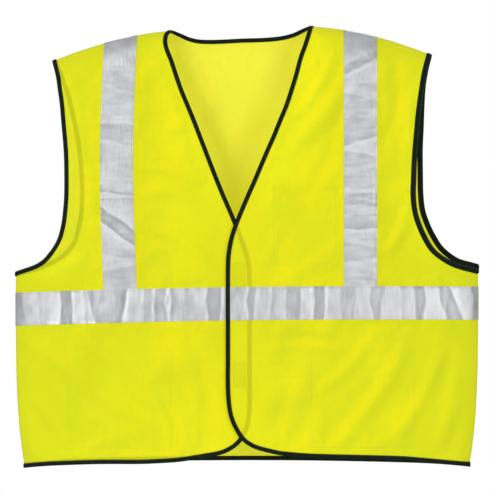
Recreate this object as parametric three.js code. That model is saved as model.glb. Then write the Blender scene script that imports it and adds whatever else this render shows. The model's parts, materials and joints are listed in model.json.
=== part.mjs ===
// A sleeveless high-visibility safety vest, hung upright by its shoulders.
//
// The fabric shell (back and the two outer front panels) is one body. Each front turns on an upright
// fold line, so the part of it between the fold and the front opening is a flap of its own.
// Millimetres. +X is the wearer's left, -Y is the front and +Z is up. The origin is midway between
// the two points where the neckline meets the shoulder seams.

import * as THREE from "three";

// ---------------------------------------------------------------- driving dimensions

// Shoulders and neck
const NECK_HALF_WIDTH = 109;
const SHOULDER_HALF_WIDTH = 289;
const SHOULDER_DROP = 48;
const SHOULDER_CURVE = 1.6;
const BACK_NECK_DIP = 18;
// height over which the fabric rounds off into the shoulder ridge
const SHOULDER_ROUND = 50;

// Depth of the hanging shell, from the seams to the fabric
const FRONT_DEPTH = 29.5;
const FRONT_FLARE = 0.0443;
const BACK_DEPTH = 32;
const BACK_FLAT_HALF_WIDTH = 200;
// the front and back edges stay this far apart along a seam
const SEAM_GAP = 1;
// sideways offset of the back from the front, below the shoulder blades
const HANG_SHIFT = 14;
const HANG_SHIFT_HEIGHT = 214;

// Sides and hem
const UNDERARM = { x: 357, z: -375 };
const SIDE_TAPER = 13.5;
const HEM_HALF_WIDTH = 344;
const HEM_CORNER_Z = -673;
const FRONT_HEM_Z = -655;
// the front hem is level out to here, and drops from here to its corner
const HEM_LEVEL_X = 70;
const BACK_HEM_Z = -664.5;
// heights, at the fold line, of the row that ends at the underarm and of where the rows' slopes change
const UNDERARM_ROW = -390;
const SHOULDER_SLOPE_END = -240;
const HEM_SLOPE_START = -595;

// Fold lines and flaps
const FOLD_X = 94;
const FOLD_GAP = 0.5;
const FOLD_TOP = -92;
// the top flap leans this far forward, and the flap under it this far back, over one reach
const FLAP_LEAN = 2.6;
const FLAP_REACH = 114;

// Fabric and trim
const FABRIC = 1;
const TAPE = 0.5;
const LINING = 0.8;
const CLEARANCE = 0.3;
const TAPE_WIDTH = 51;
const SHOULDER_TAPE_X = [159, 159 + TAPE_WIDTH];
const WAIST_TAPE_Z = [-403, -403 - TAPE_WIDTH];
const BINDING = { inside: 3.9, outside: 2.4, wrap: 0.5, clearance: 0.9 };
const BINDING_END_GAP = 1.2;
const SEAM_ALLOWANCE = { depth: 6, thickness: 1.4, drop: 2.2 };

// Pockets, closed on three sides and open at the top
const LOWER_POCKET = { x: 106, z: [-490, -645] };
const CHEST_POCKET = { x: [48, 148], z: [-240, -365] };

// Hook-and-loop strips
const STRIP = { x: [-12.5, 6.5], height: 38, thickness: 1, tops: [-361, -515] };

// The two fronts. x is measured outwards from the middle, so a front edge past the middle is negative.
const LEFT = {
  side: 1,
  neckSlope: 0.26,
  neckCurve: 0.0006,
  edge: (outline) =>
    outline
      .quadraticCurveTo(62, -137, -4, -283)
      .quadraticCurveTo(-20, -318, -20, -357)
      .lineTo(-20, -570)
      .bezierCurveTo(-20, -622, 2, -652, HEM_LEVEL_X, FRONT_HEM_Z),
  edgeX: -20,
};
const RIGHT = {
  side: -1,
  neckSlope: 0.1,
  neckCurve: 0.0016,
  edge: (outline) =>
    outline
      .lineTo(0, -315)
      .quadraticCurveTo(-14, -351, -14, -385)
      .lineTo(-14, -590)
      .bezierCurveTo(-14, -635, 10, -657, HEM_LEVEL_X, FRONT_HEM_Z),
  edgeX: -14,
};

// ---------------------------------------------------------------- materials

const fabricMaterial = new THREE.MeshStandardMaterial({ color: 0xe4e61e, roughness: 0.9, metalness: 0 });
const tapeMaterial = new THREE.MeshStandardMaterial({ color: 0xcbccce, roughness: 0.4, metalness: 0.3 });
const bindingMaterial = new THREE.MeshStandardMaterial({ color: 0x26321c, roughness: 0.85, metalness: 0 });
const stripMaterial = new THREE.MeshStandardMaterial({ color: 0xd6d832, roughness: 0.95, metalness: 0 });

// ---------------------------------------------------------------- the hanging surfaces

const { clamp, smoothstep, lerp, degToRad } = THREE.MathUtils;

function shoulderHeight(x) {
  const out = Math.max(x - NECK_HALF_WIDTH, 0) / (SHOULDER_HALF_WIDTH - NECK_HALF_WIDTH);
  return -SHOULDER_DROP * out ** SHOULDER_CURVE;
}

function sideWidth(z) {
  const down = clamp((UNDERARM.z - z) / (UNDERARM.z - HEM_CORNER_Z), 0, 1);
  return UNDERARM.x - SIDE_TAPER * down ** 4;
}

function frontHemHeight(x) {
  const out = Math.max(x - HEM_LEVEL_X, 0) / (HEM_HALF_WIDTH - HEM_LEVEL_X);
  return FRONT_HEM_Z + (HEM_CORNER_Z - FRONT_HEM_Z) * out ** 1.3;
}

function backHemHeight(x) {
  return BACK_HEM_Z + (HEM_CORNER_Z - BACK_HEM_Z) * (x / HEM_HALF_WIDTH) ** 2;
}

function backNeckHeight(x) {
  const out = Math.min(x / NECK_HALF_WIDTH, 1);
  return -BACK_NECK_DIP * (1 - out ** 4);
}

function necklineX(front, z) {
  return NECK_HALF_WIDTH + front.neckSlope * z - front.neckCurve * z * z;
}

// A quarter ellipse: 0 at the edge itself, 1 from a full share of the way in.
function roundedOff(share) {
  return Math.sqrt(1 - (1 - clamp(share, 0, 1)) ** 2);
}

function shoulderRounding(x, z) {
  return roundedOff((shoulderHeight(x) - z) / SHOULDER_ROUND);
}

function sideRounding(x, z, flatHalfWidth) {
  return roundedOff((sideWidth(z) - x) / (sideWidth(z) - flatHalfWidth));
}

// The back hangs a little to the wearer's left of the front, and the sides lie between them.
function hangShift(y, z) {
  return HANG_SHIFT * clamp((y + 30) / 45, 0, 1) * smoothstep(-z, 0, HANG_SHIFT_HEIGHT);
}

function place(side, x, y, z) {
  return new THREE.Vector3(side * x + hangShift(y, z), y, z);
}

function frontPoint(side, x, z) {
  const depth = (FRONT_DEPTH - FRONT_FLARE * z) * sideRounding(x, z, FOLD_X) * shoulderRounding(x, z);
  const lean = (side * FLAP_LEAN * Math.max(FOLD_X - x, 0)) / FLAP_REACH;
  return place(side, x, -SEAM_GAP / 2 - depth - lean, z);
}

function backPoint(side, x, z) {
  const depth = BACK_DEPTH * sideRounding(x, z, BACK_FLAT_HALF_WIDTH) * shoulderRounding(x, z);
  return place(side, x, SEAM_GAP / 2 + depth, z);
}

// The unit normal of a surface at x and z, on the side away from the wearer.
function outwardNormal(pointAt, side, x, z, facing) {
  const nudge = 0.01;
  const across = pointAt(side, x + nudge, z).sub(pointAt(side, x - nudge, z));
  const up = pointAt(side, x, z + nudge).sub(pointAt(side, x, z - nudge));
  return across.cross(up).multiplyScalar(side * facing).normalize();
}

// ---------------------------------------------------------------- grids over the surfaces

// A front or back is a grid of points: rows run from the shoulder ridge down to the hem, and columns
// run outwards. Everything sewn to it takes whole cells of the same grid, so it lies parallel to it.

const SHOULDER_ROWS = [0, 15, 30, 45, 60, 75, 90].map(
  (angle) => -SHOULDER_ROUND * (1 - Math.cos(degToRad(angle))),
);
const CHEST_ROWS = [-140, -190, CHEST_POCKET.z[0], -300, -335, CHEST_POCKET.z[1]];
const UNDERARM_ROWS = [-379, -385.5, -388.8, UNDERARM_ROW];
const LOWER_ROWS = [...WAIST_TAPE_Z, LOWER_POCKET.z[0], -540, HEM_SLOPE_START, LOWER_POCKET.z[1]];
const BODY_ROWS = [...CHEST_ROWS, ...UNDERARM_ROWS, ...LOWER_ROWS];
const FOLD_ROWS = [FOLD_TOP, FOLD_TOP - CLEARANCE];
const FRONT_ROWS = [...SHOULDER_ROWS, -70, ...FOLD_ROWS, ...BODY_ROWS, frontHemHeight(FOLD_X)];
const BACK_ROWS = [...SHOULDER_ROWS, -90, ...BODY_ROWS, BACK_HEM_Z];

// Columns crowd together towards the side seam, where the fabric turns from front to back.
const OUTER_SHARES = [40, 50, 60, 69, 76, 83, 90].map((angle) => {
  const start = (SHOULDER_TAPE_X[1] - FOLD_X) / (UNDERARM.x - FOLD_X);
  return (Math.sin(degToRad(angle)) - start) / (1 - start);
});

// They also crowd together where the back of the neckline runs into the shoulder ridge.
const NECK_COLUMNS = [50, 42, 33, 22, 10].map((angle) => {
  const dip = SHOULDER_ROUND * (1 - Math.cos(degToRad(angle)));
  return NECK_HALF_WIDTH * (1 - dip / BACK_NECK_DIP) ** 0.25;
});
const BACK_COLUMNS = [0, ...NECK_COLUMNS, NECK_HALF_WIDTH, ...SHOULDER_TAPE_X];

// The rows' shoulder slope fades out over the chest, and the hem's slope comes in near the hem.
const topShare = (row) => clamp(1 - row / SHOULDER_SLOPE_END, 0, 1);
const hemShare = (row, hem) => clamp((row - HEM_SLOPE_START) / (hem - HEM_SLOPE_START), 0, 1);

const armholeTop = new THREE.CubicBezierCurve(
  new THREE.Vector2(SHOULDER_HALF_WIDTH, -SHOULDER_DROP),
  new THREE.Vector2(272, -105),
  new THREE.Vector2(266, -170),
  new THREE.Vector2(266, -230),
);
const armholeBottom = new THREE.CubicBezierCurve(
  new THREE.Vector2(266, -230),
  new THREE.Vector2(266, -300),
  new THREE.Vector2(283, -374),
  new THREE.Vector2(UNDERARM.x, UNDERARM.z),
);

// The outer end of a row: on the armhole down to the underarm, and on the side seam below it.
function outerEnd(row, hemHeight) {
  if (row >= UNDERARM_ROW) {
    const along = (2 * row) / UNDERARM_ROW;
    return along < 1 ? armholeTop.getPoint(along) : armholeBottom.getPoint(along - 1);
  }
  const lowestRow = hemHeight(FOLD_X);
  const z = row + hemShare(row, lowestRow) * (HEM_CORNER_Z - lowestRow);
  return new THREE.Vector2(sideWidth(z), z);
}

// One row of a grid as flat [x, z] points: the inner columns first, then shares of the way outwards.
function flatRow(row, innerColumns, topHeight, hemHeight) {
  const hemRow = hemHeight(FOLD_X);
  const heightAt = (x) => {
    const fromHem = hemHeight(x) - hemRow;
    return row + topShare(row) * topHeight(x) + hemShare(row, hemRow) * fromHem;
  };
  const inner = innerColumns.map((x) => [x, heightAt(x)]);
  const end = outerEnd(row, hemHeight);
  const outer = OUTER_SHARES.map((share) => {
    const x = lerp(SHOULDER_TAPE_X[1], end.x, share);
    const straight = lerp(heightAt(SHOULDER_TAPE_X[1]), end.y, share);
    const sag = topHeight(x) - lerp(topHeight(SHOULDER_TAPE_X[1]), topHeight(end.x), share);
    return [x, straight + topShare(row) * sag];
  });
  return [...inner, ...outer];
}

function frontGrid(front) {
  return FRONT_ROWS.map((row) => {
    const edge = row >= FOLD_TOP ? necklineX(front, row) : FOLD_X + FOLD_GAP;
    const beside = lerp(edge, CHEST_POCKET.x[1], 0.215);
    const columns = [edge, beside, CHEST_POCKET.x[1], ...SHOULDER_TAPE_X];
    const flat = flatRow(row, columns, shoulderHeight, frontHemHeight);
    return flat.map(([x, z]) => ({ side: front.side, x, z }));
  });
}

function backGrid() {
  const topHeight = (x) => (x < NECK_HALF_WIDTH ? backNeckHeight(x) : shoulderHeight(x));
  return BACK_ROWS.map((row) => {
    const half = flatRow(row, BACK_COLUMNS, topHeight, backHemHeight);
    const right = half.slice(1).reverse().map(([x, z]) => ({ side: -1, x, z }));
    const left = half.map(([x, z]) => ({ side: 1, x, z }));
    return [...right, ...left];
  });
}

// The grid's points and normals in space. facing is 1 for the front and -1 for the back.
function surfaceOver(flatGrid, pointAt, facing) {
  const over = (make) => flatGrid.map((row) => row.map(({ side, x, z }) => make(side, x, z)));
  return {
    grid: over(pointAt),
    normals: over((side, x, z) => outwardNormal(pointAt, side, x, z, facing)),
  };
}

// ---------------------------------------------------------------- solids

// A closed geometry from shared vertices, with its triangles turned to face out.
function closedGeometry(points, triangles) {
  let volume = 0;
  for (const [a, b, c] of triangles) {
    volume += points[a].dot(points[b].clone().cross(points[c]));
  }
  const index = volume > 0 ? triangles : triangles.map(([a, b, c]) => [a, c, b]);
  const geometry = new THREE.BufferGeometry().setFromPoints(points);
  geometry.setIndex(index.flat());
  geometry.computeVertexNormals();
  return geometry;
}

// A sheet over the cells between two rows and two columns. offset is how far its middle lies outside
// the grid's surface, and inset how far its edges stay inside the cells.
function sheet(surface, [top, bottom], [first, last], offset, thickness, inset = 0) {
  const rows = bottom - top + 1;
  const columns = last - first + 1;
  const towards = (from, to) => to.clone().sub(from).setLength(inset);
  const skins = [offset + thickness / 2, offset - thickness / 2].map((height) => {
    const skin = [];
    for (let i = top; i <= bottom; i++) {
      for (let j = first; j <= last; j++) {
        const point = surface.grid[i][j].clone();
        if (inset && i === top) point.add(towards(surface.grid[i][j], surface.grid[i + 1][j]));
        if (inset && i === bottom) point.add(towards(surface.grid[i][j], surface.grid[i - 1][j]));
        if (inset && j === first) point.add(towards(surface.grid[i][j], surface.grid[i][j + 1]));
        if (inset && j === last) point.add(towards(surface.grid[i][j], surface.grid[i][j - 1]));
        skin.push(point.addScaledVector(surface.normals[i][j], height));
      }
    }
    return skin;
  });
  const back = rows * columns;
  const at = (i, j) => i * columns + j;
  const triangles = [];
  const quad = (a, b, c, d) => triangles.push([a, b, c], [a, c, d]);
  for (let i = 0; i < rows - 1; i++) {
    for (let j = 0; j < columns - 1; j++) {
      quad(at(i, j), at(i + 1, j), at(i + 1, j + 1), at(i, j + 1));
      quad(back + at(i, j), back + at(i, j + 1), back + at(i + 1, j + 1), back + at(i + 1, j));
    }
  }
  const rim = [];
  for (let j = 0; j < columns; j++) rim.push(at(0, j));
  for (let i = 1; i < rows; i++) rim.push(at(i, columns - 1));
  for (let j = columns - 2; j >= 0; j--) rim.push(at(rows - 1, j));
  for (let i = rows - 2; i > 0; i--) rim.push(at(i, 0));
  rim.forEach((a, k) => {
    const b = rim[(k + 1) % rim.length];
    quad(a, b, back + b, back + a);
  });
  return closedGeometry(skins.flat(), triangles);
}

// A flat outline given thickness by the plane it lies in.
function plate(outline, plane, offset, thickness) {
  const options = { depth: thickness, bevelEnabled: false, curveSegments: 10 };
  const geometry = new THREE.ExtrudeGeometry(outline, options);
  geometry.translate(0, 0, offset - thickness / 2);
  geometry.applyMatrix4(plane);
  return geometry;
}

// Steps along an edge. Each holds a point, the surface's normal there and a rough outward direction.
const step = (point, normal, outward) => ({ point, normal, outward });

function columnEdge(surface, column, inward, rows) {
  return rows.map((i) => {
    const outward = surface.grid[i][column].clone().sub(surface.grid[i][column + inward]);
    return step(surface.grid[i][column], surface.normals[i][column], outward);
  });
}

function rowEdge(surface, row, inward, columns) {
  return columns.map((j) => {
    const outward = surface.grid[row][j].clone().sub(surface.grid[row + inward][j]);
    return step(surface.grid[row][j], surface.normals[row][j], outward);
  });
}

function meeting(a, b) {
  const middle = (key) => a[key].clone().add(b[key]).multiplyScalar(0.5);
  return step(middle("point"), middle("normal"), middle("outward"));
}

function shorten(steps, length) {
  const last = steps.length - 1;
  const pulled = (from, to) => {
    const point = from.point.clone().add(to.point.clone().sub(from.point).setLength(length));
    return step(point, from.normal, from.outward);
  };
  return [pulled(steps[0], steps[1]), ...steps.slice(1, last), pulled(steps[last], steps[last - 1])];
}

// Carries a section along an edge. The section's first coordinate points outwards from the edge,
// and its second along the surface's normal.
function sweep(steps, section, closed = false) {
  const count = steps.length;
  const points = [];
  steps.forEach((here, k) => {
    const before = steps[closed ? (k + count - 1) % count : Math.max(k - 1, 0)];
    const after = steps[closed ? (k + 1) % count : Math.min(k + 1, count - 1)];
    const along = after.point.clone().sub(before.point).normalize();
    const outward = along.clone().cross(here.normal).normalize();
    if (outward.dot(here.outward) < 0) outward.negate();
    const normal = outward.clone().cross(along).normalize();
    if (normal.dot(here.normal) < 0) normal.negate();
    for (const [out, up] of section) {
      points.push(here.point.clone().addScaledVector(outward, out).addScaledVector(normal, up));
    }
  });
  const sides = section.length;
  const triangles = [];
  for (let k = 0; k < (closed ? count : count - 1); k++) {
    for (let s = 0; s < sides; s++) {
      const [a, b] = [k * sides, ((k + 1) % count) * sides];
      const next = (s + 1) % sides;
      triangles.push([a + s, a + next, b + next], [a + s, b + next, b + s]);
    }
  }
  if (!closed) {
    const cap = THREE.ShapeUtils.triangulateShape(section.map(([x, y]) => new THREE.Vector2(x, y)), []);
    const far = (count - 1) * sides;
    for (const [a, b, c] of cap) {
      triangles.push([a, c, b], [far + a, far + b, far + c]);
    }
  }
  return closedGeometry(points, triangles);
}

// ---------------------------------------------------------------- sections

// Binding tape folded over the fabric's edge, in the order that the ends' caps need.
function bindingSection() {
  const slot = FABRIC / 2 + BINDING.clearance;
  const face = slot + BINDING.wrap;
  return [
    [-BINDING.inside, -face],
    [BINDING.outside, -face],
    [BINDING.outside, face],
    [-BINDING.inside, face],
    [-BINDING.inside, slot],
    [CLEARANCE, slot],
    [CLEARANCE, -slot],
    [-BINDING.inside, -slot],
  ];
}

// The two layers' seam allowance, stitched together and standing inwards from the seam.
function seamSection() {
  const { depth, thickness, drop } = SEAM_ALLOWANCE;
  return [
    [-thickness / 2, -drop - depth],
    [thickness / 2, -drop - depth],
    [thickness / 2, -drop],
    [-thickness / 2, -drop],
  ];
}

const tapeOffset = FABRIC / 2 + CLEARANCE + TAPE / 2;
const pocketOffset = -(FABRIC / 2 + CLEARANCE + LINING / 2);
const stripOffset = FABRIC / 2 + CLEARANCE + STRIP.thickness / 2;

// ---------------------------------------------------------------- the vest

const vest = new THREE.Group();
const shell = new THREE.Group();
vest.add(shell);

function add(group, name, geometry, material) {
  const mesh = new THREE.Mesh(geometry, material);
  mesh.name = name;
  group.add(mesh);
}

const upTo = (count) => Array.from({ length: count }, (_, i) => i);

const back = surfaceOver(backGrid(), backPoint, -1);
const backLast = back.grid[0].length - 1;
const backMiddle = backLast / 2;
const backTapeStart = BACK_COLUMNS.indexOf(SHOULDER_TAPE_X[0]);
const backRow = (height) => BACK_ROWS.indexOf(height);
const frontRow = (height) => FRONT_ROWS.indexOf(height);
const frontColumn = {
  fold: 0,
  beside: 1,
  pocket: 2,
  tape: 3,
  tapeEnd: 4,
  lowerPocketEnd: 5,
  outer: 4 + OUTER_SHARES.length,
};

function addBack() {
  const [hem, tapeTop, tapeBottom] = [BACK_ROWS.length - 1, ...WAIST_TAPE_Z.map(backRow)];
  const whole = [0, backLast];
  add(shell, "back_panel", sheet(back, [0, hem], whole, 0, FABRIC), fabricMaterial);
  const waistTape = sheet(back, [tapeTop, tapeBottom], whole, tapeOffset, TAPE);
  add(shell, "back_waist_tape", waistTape, tapeMaterial);
  const fromMiddle = (j) => Math.abs(j - backMiddle);
  const neckColumns = upTo(backLast + 1).filter((j) => fromMiddle(j) <= NECK_COLUMNS.length + 1);
  const neck = shorten(rowEdge(back, 0, 1, neckColumns), BINDING_END_GAP);
  add(shell, "back_neck_binding", sweep(neck, bindingSection()), bindingMaterial);
  const bottom = shorten(rowEdge(back, hem, -1, upTo(backLast + 1)), BINDING_END_GAP);
  add(shell, "back_hem_binding", sweep(bottom, bindingSection()), bindingMaterial);
  for (const [name, columns] of [
    ["left", [backMiddle + backTapeStart, backMiddle + backTapeStart + 1]],
    ["right", [backMiddle - backTapeStart - 1, backMiddle - backTapeStart]],
  ]) {
    const tape = sheet(back, [0, tapeTop], columns, tapeOffset, TAPE, CLEARANCE);
    add(shell, name + "_back_shoulder_tape", tape, tapeMaterial);
  }
}

// A step of a seam lies midway between the front's edge and the back's, and faces the way given.
function seamStep(frontPoint, facing) {
  const middle = new THREE.Vector3(frontPoint.x, 0, frontPoint.z);
  return step(middle, facing, new THREE.Vector3(0, 1, 0));
}

function addShoulderSeam(name, surface) {
  const columns = upTo(frontColumn.outer - 1).slice(frontColumn.beside);
  const up = new THREE.Vector3(0, 0, 1);
  const ridge = columns.map((j) => seamStep(surface.grid[0][j], up));
  const seam = shorten(ridge, SEAM_ALLOWANCE.depth);
  add(shell, name + "_shoulder_seam", sweep(seam, seamSection()), fabricMaterial);
}

function addSideSeam(name, surface, side) {
  const rows = upTo(FRONT_ROWS.length - 1).slice(frontRow(UNDERARM_ROW) + 1);
  const sideways = new THREE.Vector3(side, 0, 0);
  const seam = rows.map((i) => seamStep(surface.grid[i][frontColumn.outer], sideways));
  add(shell, name + "_side_seam", sweep(seam, seamSection()), fabricMaterial);
}

// One closed loop: up the front of the armhole, over the shoulder and down the back to the underarm.
function addArmholeBinding(name, surface, side) {
  const backColumn = side > 0 ? backLast : 0;
  const frontRows = upTo(frontRow(UNDERARM_ROW) + 1).reverse();
  const backRows = upTo(backRow(UNDERARM_ROW) + 1);
  const frontEdge = columnEdge(surface, frontColumn.outer, -1, frontRows);
  const backEdge = columnEdge(back, backColumn, -side, backRows);
  const underarm = meeting(frontEdge[0], backEdge.at(-1));
  const ridge = meeting(frontEdge.at(-1), backEdge[0]);
  const loop = [underarm, ...frontEdge.slice(1, -1), ridge, ...backEdge.slice(1, -1)];
  add(shell, name + "_armhole_binding", sweep(loop, bindingSection(), true), bindingMaterial);
}

function addOuterFront(name, front) {
  const surface = surfaceOver(frontGrid(front), frontPoint, 1);
  const { fold, beside, pocket, tape, tapeEnd, lowerPocketEnd, outer } = frontColumn;
  const [hem, tapeTop, tapeBottom] = [FRONT_ROWS.length - 1, ...WAIST_TAPE_Z.map(frontRow)];
  const panel = sheet(surface, [0, hem], [fold, outer], 0, FABRIC);
  add(shell, name + "_front_panel", panel, fabricMaterial);
  const shoulderTape = sheet(surface, [0, tapeTop], [tape, tapeEnd], tapeOffset, TAPE, CLEARANCE);
  add(shell, name + "_front_shoulder_tape", shoulderTape, tapeMaterial);
  const waistTape = sheet(surface, [tapeTop, tapeBottom], [fold, outer], tapeOffset, TAPE);
  add(shell, name + "_waist_tape", waistTape, tapeMaterial);
  const lowerPocketRows = LOWER_POCKET.z.map(frontRow);
  const lowerPocket = sheet(surface, lowerPocketRows, [beside, lowerPocketEnd], pocketOffset, LINING);
  add(shell, name + "_lower_pocket", lowerPocket, fabricMaterial);
  const neckRows = upTo(frontRow(FOLD_TOP) + 1);
  const neck = shorten(columnEdge(surface, fold, 1, neckRows), BINDING_END_GAP);
  add(shell, name + "_neck_binding", sweep(neck, bindingSection()), bindingMaterial);
  const bottom = shorten(rowEdge(surface, hem, -1, upTo(outer + 1)), BINDING_END_GAP);
  add(shell, name + "_hem_binding", sweep(bottom, bindingSection()), bindingMaterial);
  addArmholeBinding(name, surface, front.side);
  addShoulderSeam(name, surface);
  addSideSeam(name, surface, front.side);
  if (front === LEFT) {
    const chestPocket = sheet(surface, CHEST_POCKET.z.map(frontRow), [fold, pocket], pocketOffset, LINING);
    add(shell, "chest_pocket_outer_half", chestPocket, fabricMaterial);
  }
}

// ---------------------------------------------------------------- the flaps

// The plane that a flap lies in: flat x and z become its first two axes, and its normal faces forward.
function flapPlane(side) {
  const lean = (side * FLAP_LEAN * FOLD_X) / FLAP_REACH;
  const origin = new THREE.Vector3(0, -SEAM_GAP / 2 - FRONT_DEPTH - lean, 0);
  const across = new THREE.Vector3(1, FLAP_LEAN / FLAP_REACH, 0);
  const up = new THREE.Vector3(0, FRONT_FLARE, 1);
  const normal = across.clone().cross(up).normalize();
  return new THREE.Matrix4().makeBasis(across, up, normal).setPosition(origin);
}

const mirrored = (outline, side) => outline.map((point) => new THREE.Vector2(side * point.x, point.y));

// The flap's free edge, from the top of the fold line down the front opening and round to the hem.
function freeEdge(front) {
  const edge = new THREE.Path();
  edge.moveTo(necklineX(front, FOLD_TOP), FOLD_TOP - 2 * CLEARANCE);
  front.edge(edge);
  edge.lineTo(FOLD_X - FOLD_GAP, frontHemHeight(FOLD_X));
  return edge.getPoints(10);
}

function box(front, [left, right], [top, bottom]) {
  const corners = [[left, top], [right, top], [right, bottom], [left, bottom]];
  return new THREE.Shape(corners.map(([x, z]) => new THREE.Vector2(front.side * x, z)));
}

function addFlapBinding(flap, name, front, edge, plane) {
  const normal = new THREE.Vector3().setFromMatrixColumn(plane, 2);
  const middle = new THREE.Vector3(front.side * FOLD_X, 0, (FOLD_TOP + FRONT_HEM_Z) / 2);
  const steps = edge.map((flat) => {
    const point = new THREE.Vector3(flat.x, flat.y, 0).applyMatrix4(plane);
    return step(point, normal, point.clone().sub(middle).setY(0));
  });
  // it starts clear of the neckline's binding
  const startGap = 2 * BINDING.outside;
  const towardsNext = steps[1].point.clone().sub(steps[0].point).setLength(startGap);
  steps[0] = step(steps[0].point.clone().add(towardsNext), normal, steps[0].outward);
  add(flap, name + "_flap_binding", sweep(steps, bindingSection()), bindingMaterial);
}

function addFlap(name, front) {
  const flap = new THREE.Group();
  vest.add(flap);
  const plane = flapPlane(front.side);
  const edge = mirrored(freeEdge(front), front.side);
  const foldX = front.side * (FOLD_X - FOLD_GAP);
  const outline = new THREE.Shape([...edge, new THREE.Vector2(foldX, FOLD_TOP - 2 * CLEARANCE)]);
  add(flap, name + "_flap_panel", plate(outline, plane, 0, FABRIC), fabricMaterial);
  addFlapBinding(flap, name, front, edge, plane);
  const tape = box(front, [front.edgeX + BINDING.inside + CLEARANCE, FOLD_X - FOLD_GAP], WAIST_TAPE_Z);
  add(flap, name + "_flap_waist_tape", plate(tape, plane, tapeOffset, TAPE), tapeMaterial);
  const kind = front === LEFT ? "hook" : "loop";
  STRIP.tops.forEach((top, i) => {
    const stripOutline = box(LEFT, STRIP.x, [top, top - STRIP.height]);
    const strip = plate(stripOutline, plane, -front.side * stripOffset, STRIP.thickness);
    add(flap, (i ? "lower_" : "upper_") + kind + "_strip", strip, stripMaterial);
  });
  if (front === LEFT) {
    const pocket = box(front, [CHEST_POCKET.x[0], FOLD_X - FOLD_GAP], CHEST_POCKET.z);
    add(flap, "chest_pocket_inner_half", plate(pocket, plane, pocketOffset, LINING), fabricMaterial);
  }
}

addBack();
addOuterFront("left", LEFT);
addOuterFront("right", RIGHT);
addFlap("left", LEFT);
addFlap("right", RIGHT);

export default vest;
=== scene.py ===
import json
import math

import bmesh
import bpy
import numpy as np
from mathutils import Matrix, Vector
from mathutils.geometry import delaunay_2d_cdt

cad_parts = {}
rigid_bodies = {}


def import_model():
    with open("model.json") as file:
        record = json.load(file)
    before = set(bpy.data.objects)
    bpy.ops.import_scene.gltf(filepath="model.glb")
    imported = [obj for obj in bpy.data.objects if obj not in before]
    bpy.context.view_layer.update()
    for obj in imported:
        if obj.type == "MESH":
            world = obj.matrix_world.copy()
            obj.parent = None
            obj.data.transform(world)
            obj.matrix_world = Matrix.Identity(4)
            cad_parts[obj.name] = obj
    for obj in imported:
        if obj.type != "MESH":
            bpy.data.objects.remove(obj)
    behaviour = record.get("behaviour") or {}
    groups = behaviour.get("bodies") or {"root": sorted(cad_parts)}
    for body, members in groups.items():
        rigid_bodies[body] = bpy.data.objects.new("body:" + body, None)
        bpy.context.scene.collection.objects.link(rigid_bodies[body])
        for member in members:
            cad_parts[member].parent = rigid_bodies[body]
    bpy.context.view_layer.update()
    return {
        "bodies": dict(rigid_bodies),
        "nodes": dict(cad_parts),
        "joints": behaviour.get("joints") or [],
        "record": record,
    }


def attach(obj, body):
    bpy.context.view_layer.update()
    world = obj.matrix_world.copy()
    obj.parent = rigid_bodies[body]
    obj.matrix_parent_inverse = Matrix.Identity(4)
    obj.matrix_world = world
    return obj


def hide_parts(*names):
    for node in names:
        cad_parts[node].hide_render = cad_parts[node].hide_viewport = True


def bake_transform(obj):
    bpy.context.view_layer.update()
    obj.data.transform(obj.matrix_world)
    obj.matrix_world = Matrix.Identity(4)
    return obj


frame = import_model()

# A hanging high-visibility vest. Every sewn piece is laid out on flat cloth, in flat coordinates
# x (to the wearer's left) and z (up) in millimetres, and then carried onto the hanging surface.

# ---- driving dimensions, in millimetres

METRES = 0.001

NECK_HALF_WIDTH = 109
SHOULDER_HALF_WIDTH = 289
SHOULDER_DROP = 48
SHOULDER_CURVE = 1.6
SHOULDER_ROUND = 50
FRONT_DEPTH = 29.5
FRONT_FLARE = 0.0443
BACK_DEPTH = 32
BACK_FLAT_HALF_WIDTH = 200
SEAM_GAP = 0.5
HANG_SHIFT = 14
HANG_SHIFT_HEIGHT = 214
UNDERARM_X = 357
UNDERARM_Z = -375
SIDE_TAPER = 13.5
HEM_CORNER_Z = -673
FOLD_X = 94
FLAP_LEAN = 2.6
FLAP_REACH = 114
# How much the shoulder line rises (x, height): the wearer's left side hangs higher, the right one lower.
SHOULDER_RISE = [(-300, 0), (-180, -3.4), (-70, -3), (70, 3), (150, 4.3), (210, 7), (290, 9.4)]
RISE_FADES_FROM = 40
RISE_FADES_TO = 150

TAPE_WIDTH = 51
TAPE_THICKNESS = 0.45
TAPE_OFFSET = 0.75
TAPE_STITCH_OFFSET = 0.85
SHOULDER_TAPE_LENGTH = 380
WAIST_TAPE_TOP = -398.7
WAIST_TAPE_TILT = 4.9
WAIST_TAPE_BOW = 4.4
WAIST_TAPE_END = 356.7
WAIST_TAPE_MIDDLE = -425.0
POCKET_OFFSET = -1.2
STRIP_OFFSET = 1.1

# Edges of the fronts: (outwards from the middle, height), from the shoulder down to the hem.
LEFT_EDGE = [
    (107, 0), (104, -11), (97.5, -31), (91, -49), (84.8, -72), (77.5, -95), (69.2, -119),
    (59.5, -142), (50.2, -165), (40, -188), (30.2, -211), (20.5, -234), (10.3, -257), (0.5, -280),
    (-8.8, -303), (-16, -326), (-20, -350), (-21, -375), (-21, -420), (-21, -465), (-21, -510),
    (-21, -550), (-19, -581), (-13.8, -604), (-1, -628), (12, -640), (29, -647.5), (60, -655),
]
RIGHT_EDGE = [
    (109, 0), (114.5, -6), (116.3, -15), (115.3, -24), (111.5, -35), (107, -46), (99.3, -70),
    (91.2, -94), (81.2, -119), (72, -142), (63.2, -165), (54.3, -188), (45.5, -211), (36.5, -234),
    (27, -257), (17, -280), (7.5, -303), (-4, -333), (-11.5, -358), (-14, -385), (-14, -440),
    (-14, -490), (-14, -540), (-14, -585), (-9, -616), (5, -639), (28, -653), (60, -659.5),
]
LEFT_HEM = [
    (60, -655), (91, -657.8), (122, -659.4), (183, -661), (245, -663), (276, -665.5), (306, -668.5),
    (344, -673),
]
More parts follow.
